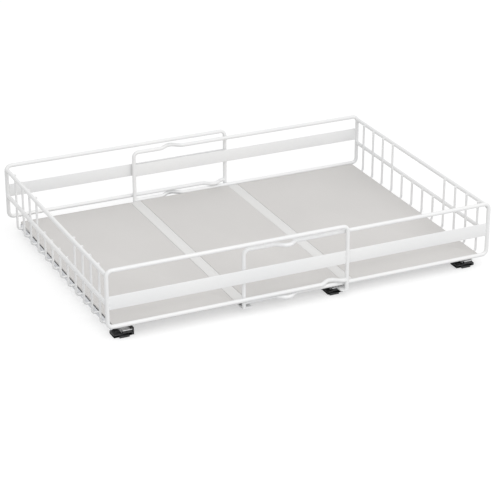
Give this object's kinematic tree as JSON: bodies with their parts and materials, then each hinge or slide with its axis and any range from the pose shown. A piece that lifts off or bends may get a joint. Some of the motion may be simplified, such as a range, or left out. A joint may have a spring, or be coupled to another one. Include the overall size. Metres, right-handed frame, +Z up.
{
  "type": "pull out cabinet basket",
  "caption": "Low white wire basket for a kitchen cabinet, in two halves that telescope sideways, with flat floor boards, pulling out on ball-bearing slides.",
  "frame": {"origin": "on the cabinet floor, under the middle of the closed basket", "axes": "+X to the right, +Y from the front to the back, +Z up"},
  "size_m": [0.611, 0.4382, 0.112],
  "materials": {
    "white_coat": "satin white powder coat",
    "board": "matt, warm light grey",
    "seam_strip": "matt, lighter grey",
    "rail_steel": "zinc plated",
    "zinc_rail": "zinc plated",
    "screw_zinc": "zinc plated",
    "ball_steel": "polished",
    "cage_steel": "bright",
    "black_plastic": "moulded, slightly glossy",
    "black_rubber": "matt"
  },
  "bodies": {
    "cabinet_rails": {"left_cabinet_rail": "rail_steel", "middle_cabinet_rail": "rail_steel", "rear_bumpers": "black_rubber"},
    "left_basket_half": {"left_front_loop": "white_coat", "left_back_loop": "white_coat", "left_side_rails": "white_coat", "left_hook_wires": "white_coat", "left_front_strip": "white_coat", "left_back_strip": "white_coat", "left_cross_bars": "white_coat", "left_board": "board", "middle_board": "board", "left_seam_strip": "seam_strip", "left_bar_screws": "screw_zinc", "left_inner_rail": "zinc_rail", "middle_inner_rail": "zinc_rail", "left_front_cap": "black_plastic", "middle_front_cap": "black_plastic"},
    "right_basket_half": {"right_front_loop": "white_coat", "right_back_loop": "white_coat", "right_side_rails": "white_coat", "right_hook_wires": "white_coat", "right_front_strip": "white_coat", "right_back_strip": "white_coat", "right_cross_bars": "white_coat", "right_board": "board", "right_seam_strip": "white_coat", "right_bar_screws": "screw_zinc", "right_inner_rail": "zinc_rail", "right_front_cap": "black_plastic"},
    "right_cabinet_rail_set": {"right_cabinet_rail": "rail_steel", "right_rear_bumper": "black_rubber"},
    "intermediate_rails": {"left_intermediate_rail": "zinc_rail", "middle_intermediate_rail": "zinc_rail"},
    "right_intermediate": {"right_intermediate_rail": "zinc_rail"},
    "outer_cages": {"outer_ball_cages": "cage_steel", "outer_balls": "ball_steel"},
    "inner_cages": {"inner_ball_cages": "cage_steel", "inner_balls": "ball_steel"},
    "right_outer_cages": {"right_outer_cage": "cage_steel", "right_outer_balls": "ball_steel"},
    "right_inner_cages": {"right_inner_cage": "cage_steel", "right_inner_balls": "ball_steel"}
  },
  "joints": [
    {"name": "pull_out", "type": "slide", "parent": "cabinet_rails", "child": "left_basket_half", "axis": [0, -1, 0], "range_m": [0, 0.38]},
    {"name": "width_extend", "type": "slide", "parent": "left_basket_half", "child": "right_basket_half", "axis": [1, 0, 0], "range_m": [0, 0.06]},
    {"name": "intermediate_slide", "type": "slide", "parent": "cabinet_rails", "child": "intermediate_rails", "axis": [0, -1, 0], "range_m": [0, 0.19]},
    {"name": "outer_cage_slide", "type": "slide", "parent": "cabinet_rails", "child": "outer_cages", "axis": [0, -1, 0], "range_m": [0, 0.095]},
    {"name": "inner_cage_slide", "type": "slide", "parent": "cabinet_rails", "child": "inner_cages", "axis": [0, -1, 0], "range_m": [0, 0.285]},
    {"name": "right_rail_shift", "type": "slide", "parent": "cabinet_rails", "child": "right_cabinet_rail_set", "axis": [1, 0, 0], "range_m": [0, 0.06]},
    {"name": "right_intermediate_slide", "type": "slide", "parent": "right_cabinet_rail_set", "child": "right_intermediate", "axis": [0, -1, 0], "range_m": [0, 0.19]},
    {"name": "right_outer_cage_slide", "type": "slide", "parent": "right_cabinet_rail_set", "child": "right_outer_cages", "axis": [0, -1, 0], "range_m": [0, 0.095]},
    {"name": "right_inner_cage_slide", "type": "slide", "parent": "right_cabinet_rail_set", "child": "right_inner_cages", "axis": [0, -1, 0], "range_m": [0, 0.285]}
  ],
  "couplings": [
    {"joint": "intermediate_slide", "follows": "pull_out", "ratio": 0.5},
    {"joint": "outer_cage_slide", "follows": "pull_out", "ratio": 0.25},
    {"joint": "inner_cage_slide", "follows": "pull_out", "ratio": 0.75},
    {"joint": "right_rail_shift", "follows": "width_extend", "ratio": 1},
    {"joint": "right_intermediate_slide", "follows": "pull_out", "ratio": 0.5},
    {"joint": "right_outer_cage_slide", "follows": "pull_out", "ratio": 0.25},
    {"joint": "right_inner_cage_slide", "follows": "pull_out", "ratio": 0.75}
  ]
}
